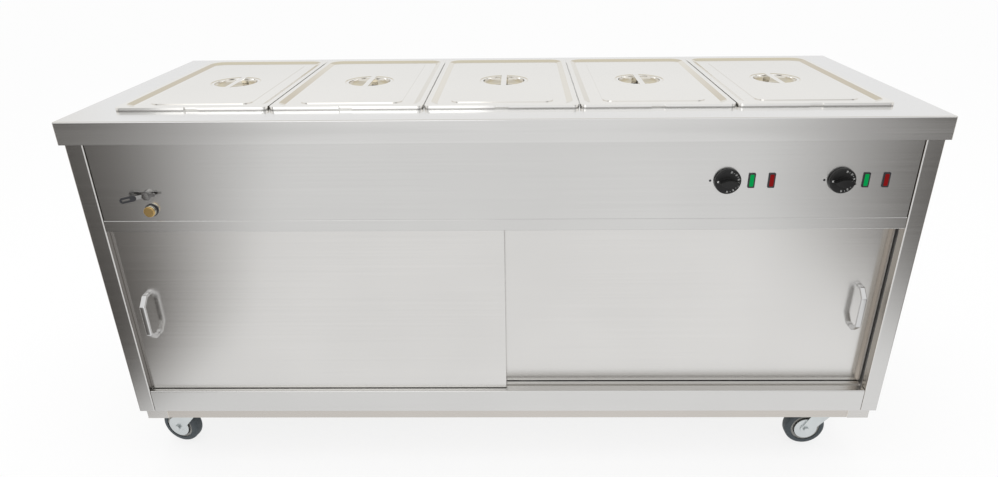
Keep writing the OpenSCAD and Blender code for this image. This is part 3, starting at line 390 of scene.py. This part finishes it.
MATERIAL = {
    "worktop_steel": steel("worktop_steel", (0.70, 0.695, 0.685), 0.20, "x", "Y", 0.8,
                           top=(WORKTOP_FLAT, (0.765, 0.765, 0.765), 0.12)),
    "body_steel": skin("body_steel"),
    "door_steel": steel("door_steel", (0.71, 0.70, 0.685), 0.20, "x", "Z", 0.8),
    "inner_steel": steel("inner_steel", (0.60, 0.59, 0.58), 0.32, "x", "Z", metallic=0.8),
    "pan_steel": steel("pan_steel", (0.76, 0.75, 0.72), 0.16, "y", streaks=0.03),
    # The lids' slopes get painted shade and painted reflection, and their rims a painted
    # highlight.
    "lid_steel": steel("lid_steel", (0.765, 0.75, 0.715), 0.09, "y", depth=0.000004, cloud=0.015,
                       streaks=0.02, painted_slope_shade=(0.91, 0.88, 0.81), painted_rim_highlight=(0.97, 0.96, 0.94)),
    # The base frame's cross rails are a little darker, and the gap at their joint gets a painted
    # glow.
    "frame_steel": steel("frame_steel", (0.645, 0.63, 0.61), 0.28, "x", "Z", level=1.0,
                         reveal=(CROSS_RAILS, (0.92, 0.89, 0.86)),
                         pocket=(RAIL_JOINT, (0.33, 0.315, 0.295))),
    "zinc": metal("zinc", (0.60, 0.63, 0.635), 0.30),
    "hub_plastic": plastic("hub_plastic", (0.26, 0.26, 0.245), 0.42),
    "tyre": plastic("tyre", (0.045, 0.057, 0.065), 0.60, 500, 0.00005),
    "chrome": metal("chrome", (0.64, 0.64, 0.64), 0.08, 0.02),
    "fitting_metal": metal("fitting_metal", (0.34, 0.335, 0.325), 0.24),
    "brass": metal("brass", (0.70, 0.48, 0.195), 0.34, 0.12, 0.00002,
                   rear=(CAP_PLATING, (0.80, 0.79, 0.66))),
    "black_plastic": plastic("black_plastic", (0.014, 0.014, 0.018), 0.42),
    "knob_plastic": plastic("knob_plastic", (0.008, 0.008, 0.008), 0.38, Specular_IOR_Level=0.3),
    "green_lens": lens("green_lens", (0.0, 0.10, 0.025), (0.0, 1.0, 0.22), 0.24),
    "red_lens": lens("red_lens", (0.08, 0.003, 0.003), (1.0, 0.03, 0.03), 0.16),
    "nylon": plastic("nylon", (0.72, 0.72, 0.68), 0.4),
    "element_sheath": metal("element_sheath", (0.3, 0.26, 0.22), 0.45, 0.15),
    "thermostat_metal": metal("thermostat_metal", (0.55, 0.55, 0.55), 0.4),
}
PRINT = plastic("white_print", (0.58, 0.58, 0.57), 0.5)
OWN_LOOK = {
    # The sides' returns beside the doors get painted shade, darkest on the left, and the hollows
    # behind them a painted glow. The sill's step is a little darker, and its groove gets a faint
    # painted glow.
    "right_side": skin("side_steel", reveal=(RETURN, (0.62, 0.58, 0.53)),
                       pocket=(RETURN_HOLLOW, (0.24, 0.215, 0.19))),
    "left_side": skin("left_side_steel", reveal=(RETURN, (0.36, 0.345, 0.33)),
                      pocket=(RETURN_HOLLOW, (0.10, 0.09, 0.08))),
    "door_sill": skin("sill_steel", reveal=(SILL_STEP, (0.95, 0.945, 0.93)),
                      pocket=(SILL_GROOVE, (0.075, 0.072, 0.068))),
    # The lever is a darker copy of the fittings' metal: painted shade for the shadow it sits in.
    "valve_lever": metal("lever_metal", (0.30, 0.295, 0.29), 0.2),
}


def finish_slot(piece, slot, material=None):
    """Gives a piece its material, which is that of its slot unless it has its own look."""
    piece.data.materials.clear()
    piece.data.materials.append(material or MATERIAL[slot])


# ---------------------------------------------------------------- CAD nodes with worked edges
WELD = 0.000004
FLAT_DEGREES = 0.5
SHARP_DEGREES = 30
ROUNDED_DEGREES = 32
PRESSED_DEGREES = 12
FACE_WEIGHT = 100
LEAST_LENGTH = 1e-6


def narrowest(face):
    """The least distance across a face, taken from its area and its longest side."""
    longest = max(e.calc_length() for e in face.edges)
    return face.calc_area() / max(longest, LEAST_LENGTH)


def rounded_edges(bm, width, segments, angle, room):
    """Bevels each sharp edge that has enough flat on both sides."""
    sharp = []
    for edge in bm.edges:
        if len(edge.link_faces) == 2 and edge.calc_face_angle(0) > math.radians(angle):
            if min(narrowest(f) for f in edge.link_faces) > room:
                sharp.append(edge)
    bmesh.ops.bevel(bm, geom=sharp, offset=width, segments=segments, profile=0.5,
                    affect="EDGES", clamp_overlap=True)


def smoothed(mesh):
    """Smooth shading, except across sharp edges."""
    mesh.shade_smooth()
    mesh.set_sharp_from_angle(angle=math.radians(SHARP_DEGREES))


def evaluated(item):
    """A new mesh of the object with its modifiers and its curves worked out."""
    bpy.context.view_layer.update()
    depsgraph = bpy.context.evaluated_depsgraph_get()
    return bpy.data.meshes.new_from_object(item.evaluated_get(depsgraph))


def softened(node, phases, angle=ROUNDED_DEGREES):
    """The CAD form with its sharp edges rounded, shown in place of the node.

    Each phase is a width and a number of segments, with the flat that an edge needs beside it.
    """
    mesh = NODES[node].data.copy()
    mesh.name = node + "_form"
    piece = put(node + "_form", mesh)
    bm = bmesh.new()
    bm.from_mesh(mesh)
    bmesh.ops.remove_doubles(bm, verts=bm.verts, dist=WELD)
    bmesh.ops.dissolve_limit(bm, angle_limit=math.radians(FLAT_DEGREES), verts=bm.verts,
                             edges=bm.edges)
    for width, segments, room in phases:
        rounded_edges(bm, width, segments, angle, room)
    bmesh.ops.triangulate(bm, faces=[f for f in bm.faces if len(f.verts) > 4])
    low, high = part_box(node)
    for vert in bm.verts:
        vert.co = Vector(min(max(v, a), b) for v, a, b in zip(vert.co, low, high))
    bm.to_mesh(mesh)
    bm.free()
    smoothed(mesh)
    level = piece.modifiers.new("level", "WEIGHTED_NORMAL")
    level.weight = FACE_WEIGHT
    level.keep_sharp = True
    done = evaluated(piece)
    piece.modifiers.clear()
    piece.data = done
    bpy.data.meshes.remove(mesh)
    done.name = node + "_form"
    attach(piece, BODY[node])
    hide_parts(node)
    finish_slot(piece, SLOT[node], OWN_LOOK.get(node))


PLACES = range(1, 6)  # of the pans and lids, from left to right
CORNERS = ("front_left", "front_right", "rear_left", "rear_right")
# Width and segments of each node's rounding. Where the width is nought, it is only smoothed.
EDGES = {
    "left_handle": (0.0024, 3), "right_handle": (0.0024, 3),
    "well_knob": (0.0009, 2), "cupboard_knob": (0.0009, 2),
    "lamp_bezels": (0.0006, 2), "green_lenses": (0.0009, 2), "red_lenses": (0.0009, 2),
    "drain_cap": (0.0005, 2), "valve_lever": (0.0004, 2), "lever_sleeve": (0.0014, 3),
    "drain_bush": (0.0006, 2), "drain_valve": (0.0004, 1), "castor_plates": (0.0006, 1),
    "cable_gland": (0.0008, 2), "base_frame": (0, 1), "drain_pipe": (0, 1),
}
for corner in CORNERS:
    EDGES["castor_fork_" + corner] = (0.0008, 2)
    EDGES["castor_hub_" + corner] = (0.0008, 2)
    EDGES["castor_tyre_" + corner] = (0, 1)
for i in PLACES:
    EDGES[f"pan_{i}"] = (0.0002, 1)
for node, (width, segments) in EDGES.items():
    softened(node, [(width, segments, 0.0)] if width else [])
PRESSED = [(0.0018, 3, 0.003), (0.0006, 2, 0.0011)]
for i in PLACES:
    softened(f"lid_{i}", PRESSED, PRESSED_DEGREES)
for node, item in NODES.items():
    if node not in EDGES and not node.startswith("lid_"):
        item.data.materials.clear()
        item.data.materials.append(OWN_LOOK.get(node, MATERIAL[SLOT[node]]))


# ---------------------------------------------------------------- prints on the dials and panel
# Each figure with its place round the dial, in degrees up from the right
FIGURES = [(-91, "30"), (-56, "40"), (-21, "50"), (14, "60"), (46, "70"), (78, "80")]
FIGURE_H = 0.0047
FIGURE_HALF_T = 0.00012
FIGURE_RING = 0.79  # of the dial's radius
TICK = (0.0022, 0.0002, 0.0005)
OFF_MARK = (0.0042, 0.0002, 0.0038)
OFF_RING = 0.755
SKIRT_FRONT = 0.0096  # how far the dials' marked face stands before the panel
PROUD = 0.00006
DOT_R = 0.0025
DOT_T = 0.0003
DOT_SEGMENTS = 32
DOT_ASIDE = 0.035
DOT_PROUD = 0.0001
TO_FRONT = Matrix.Rotation(math.radians(90), 4, "X")  # turns a flat print to face the front


def mesh_of(name, bm):
    mesh = bpy.data.meshes.new(name)
    bm.to_mesh(mesh)
    bm.free()
    return mesh


def printed(name, mesh, body, slot, material=None):
    """A piece of the scene alone, which rides on a body."""
    piece = put(name, mesh)
    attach(piece, body)
    finish_slot(piece, slot, material)


def index_dot(name, centre):
    """A flat round plate whose face looks to the front."""
    bm = bmesh.new()
    bmesh.ops.create_cone(bm, cap_ends=True, segments=DOT_SEGMENTS, radius1=DOT_R, radius2=DOT_R,
                          depth=DOT_T, matrix=Matrix.Translation(centre) @ TO_FRONT)
    bmesh.ops.recalc_face_normals(bm, faces=bm.faces)
    mesh = mesh_of(name, bm)
    smoothed(mesh)
    return mesh


def block(bm, centre, size, turn=0.0, about=None):
    """Adds a block, turned about an axis that runs from front to back."""
    pivot = Vector(about or centre)
    at = (Matrix.Translation(pivot) @ Matrix.Rotation(turn, 4, "Y")
          @ Matrix.Translation(Vector(centre) - pivot))
    bmesh.ops.create_cube(bm, size=1.0, matrix=at @ Matrix.Diagonal((*size, 1)))


def lettering(text):
    curve = bpy.data.curves.new("figures", "FONT")
    curve.body = text
    curve.size = FIGURE_H
    curve.align_x = "CENTER"
    curve.align_y = "CENTER"
    curve.extrude = FIGURE_HALF_T
    holder = put("figures", curve)
    mesh = evaluated(holder)
    bpy.data.objects.remove(holder)
    bpy.data.curves.remove(curve)
    return mesh


panel_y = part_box("control_panel")[0].y
face_y = panel_y - SKIRT_FRONT
for knob in ("well_knob", "cupboard_knob"):
    low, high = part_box(knob)
    cx, cz = (low.x + high.x) / 2, (low.z + high.z) / 2
    radius = (high.x - low.x) / 2
    ring = radius * FIGURE_RING
    bm = bmesh.new()
    for degrees, text in FIGURES:
        mesh = lettering(text)
        a = math.radians(degrees)
        at = Vector((cx + ring * math.cos(a), face_y, cz + ring * math.sin(a)))
        turn = Matrix.Rotation(-a + math.radians(180), 4, "Y")
        mesh.transform(Matrix.Translation(at) @ turn @ TO_FRONT)
        bm.from_mesh(mesh)
        bpy.data.meshes.remove(mesh)
    for (before, _), (after, _) in zip(FIGURES, FIGURES[1:]):
        a = math.radians((before + after) / 2)
        block(bm, (cx + ring, face_y - PROUD, cz), TICK, -a, (cx, face_y, cz))
    block(bm, (cx - radius * OFF_RING, face_y - PROUD, cz), OFF_MARK)
    printed(knob + "_figures", mesh_of(knob + "_figures", bm), BODY[knob], "knob_plastic", PRINT)
    dot = index_dot(knob + "_index_dot", (cx - DOT_ASIDE, panel_y - DOT_PROUD, cz))
    printed(knob + "_index_dot", dot, "cabinet", "black_plastic")


# ---------------------------------------------------------------- stage and light
WHITE = (1, 1, 1)
FLOOR_SIZE = 60
FLOOR_TONE = (0.95, 0.95, 0.95)
FLOOR_ROUGH = 0.9
FLOOR_SHADE = 0.20  # how much of the floor's own shading the eye sees over plain white
# To metal, floor and room are white straight ahead of the cupboard and fade to grey along two
# borders that open out to the front. For each border: how far it opens with each metre ahead,
# where it would start, its least distance from the middle, and how soft it is per metre ahead.
BORDER = {"left": (0.44, 0.60, 1.04, 0.34), "right": (0.48, 0.53, 1.39, 0.34)}
LEAST_AHEAD = 0.02
LEAST_SOFT = 0.1
# Tones before and past a border, in units of its softness
FADE = [(-1, 0.97), (-0.5, 0.93), (0, (0.606, 0.60, 0.592)), (0.5, (0.180, 0.171, 0.162)),
        (0.9, (0.067, 0.060, 0.054)), (1.7, (0.089, 0.080, 0.071)), (3, (0.59, 0.55, 0.51)),
        (4, (0.84, 0.80, 0.75))]
FADE_START, FADE_SPAN = -1, 5
# Beside and behind the cupboard metal sees an even floor, and past the horizon a room that is
# white low down, with a warm dusk above it and a pale ceiling.
EVEN_FLOOR = (0.97, 0.97, 0.97)
EVEN_ENDS = (0.30, 0.60)
HEIGHT = [(0.0, 0.90), (0.16, 0.90), (0.21, 0.97), (0.27, 1.0), (0.35, (0.80, 0.76, 0.70)),
          (0.48, (0.82, 0.79, 0.72)), (0.68, (0.88, 0.85, 0.75)), (0.85, (0.80, 0.78, 0.74))]
FRONT_ENDS = (0.04, 0.2)
BORDERS_END = (0.12, 0.34)  # heights between which the borders fade out in front
# Far to the sides the room is duller, which draws the slopes of the lids that face there.
ASIDE = [(0.0, 1.0), (0.5, 1.0), (0.62, (0.88, 0.85, 0.80)), (0.82, (0.80, 0.76, 0.70)),
         (1.0, 0.95)]
ROOM_LIGHT = 0.95


def borders(nodes, axes, far=False):
    """How far ahead a place lies, and how white it looks to metal.

    far is for directions instead of places, where a border only has its opening.
    """
    calc = nodes.calc
    across = calc("ABSOLUTE", axes["X"])
    ahead = calc("MAXIMUM", calc("MULTIPLY", axes["Y"], -1.0), LEAST_AHEAD)
    past = {}
    for side, (opening, start, least, soft) in BORDER.items():
        width = calc("MULTIPLY", ahead, soft)
        if far:
            edge = calc("MULTIPLY", ahead, opening)
        else:
            edge = calc("MAXIMUM", calc("MULTIPLY_ADD", ahead, opening, start), least)
            width = calc("MAXIMUM", width, LEAST_SOFT)
        past[side] = calc("DIVIDE", calc("SUBTRACT", across, edge), width)
    is_right = calc("GREATER_THAN", axes["X"], 0.0)
    is_left = calc("SUBTRACT", 1.0, is_right)
    beyond = calc("ADD", calc("MULTIPLY", past["left"], is_left),
                  calc("MULTIPLY", past["right"], is_right))
    at = calc("MULTIPLY_ADD", beyond, 1 / FADE_SPAN, -FADE_START / FADE_SPAN)
    return ahead, nodes.ramp(at, [((stop - FADE_START) / FADE_SPAN, tone) for stop, tone in FADE])


half = FLOOR_SIZE / 2
floor_mesh = bpy.data.meshes.new("floor")
floor_mesh.from_pydata([(-half, -half, 0), (half, -half, 0), (half, half, 0), (-half, half, 0)],
                       [], [(0, 1, 2, 3)])
floor = put("floor", floor_mesh)
ground = Shader("pale_floor")
ground.set(Base_Color=FLOOR_TONE, Roughness=FLOOR_ROUGH, Specular_IOR_Level=0.0)
lit = ground.main.outputs[0]
ahead, fade = borders(ground, ground.axes(ground.place))
mirrored = ground.add("ShaderNodeEmission")
bordered = ground.mix(EVEN_FLOOR, fade, ground.smooth(ahead, *EVEN_ENDS))
ground.feed(mirrored.inputs["Color"], bordered)
white = ground.add("ShaderNodeEmission", Color=(*WHITE, 1))
seen = ground.mix_shaders(white.outputs[0], lit, FLOOR_SHADE)
ground.feed(ground.tree.nodes["Material Output"].inputs["Surface"],
            ground.by_ray(lit, mirrored.outputs[0], seen))
floor.data.materials.append(ground.material)

world = bpy.data.worlds.new("studio")
SCENE.world = world
world.use_nodes = True
world.node_tree.nodes.clear()
sky = Nodes(world.node_tree)
toward = sky.axes(sky.add("ShaderNodeTexCoord").outputs["Generated"])
ahead, fade = borders(sky, toward, far=True)
aside = sky.calc("ABSOLUTE", toward["X"])
around = sky.times(sky.ramp(toward["Z"], HEIGHT), sky.ramp(aside, ASIDE))
facing = sky.mix(fade, WHITE, sky.smooth(toward["Z"], *BORDERS_END))
walls = sky.add("ShaderNodeBackground", Strength=1.0)
sky.feed(walls.inputs["Color"], sky.mix(around, facing, sky.smooth(ahead, *FRONT_ENDS)))
white = sky.add("ShaderNodeBackground", Color=(*WHITE, 1), Strength=1.0)
room = sky.add("ShaderNodeBackground", Color=(*WHITE, 1), Strength=ROOM_LIGHT)
sky.feed(sky.add("ShaderNodeOutputWorld").inputs["Surface"],
         sky.by_ray(room.outputs[0], walls.outputs[0], white.outputs[0]))


AIM = Vector((0, 0, 0.5))


def softbox(name, at, size, power):
    """A lamp that looks at the cupboard's middle."""
    data = bpy.data.lights.new(name, "AREA")
    data.shape = "RECTANGLE"
    data.size, data.size_y = size
    data.energy = power
    item = put(name, data)
    item.location = at
    item.rotation_euler = (AIM - Vector(at)).to_track_quat("-Z", "Y").to_euler()
    return item


overhead = softbox("overhead", (0, -0.3, 3.2), (3.2, 2.2), 22)
overhead.visible_glossy = False
softbox("front", (-1.2, -3.4, 2.2), (2.2, 1.6), 8)
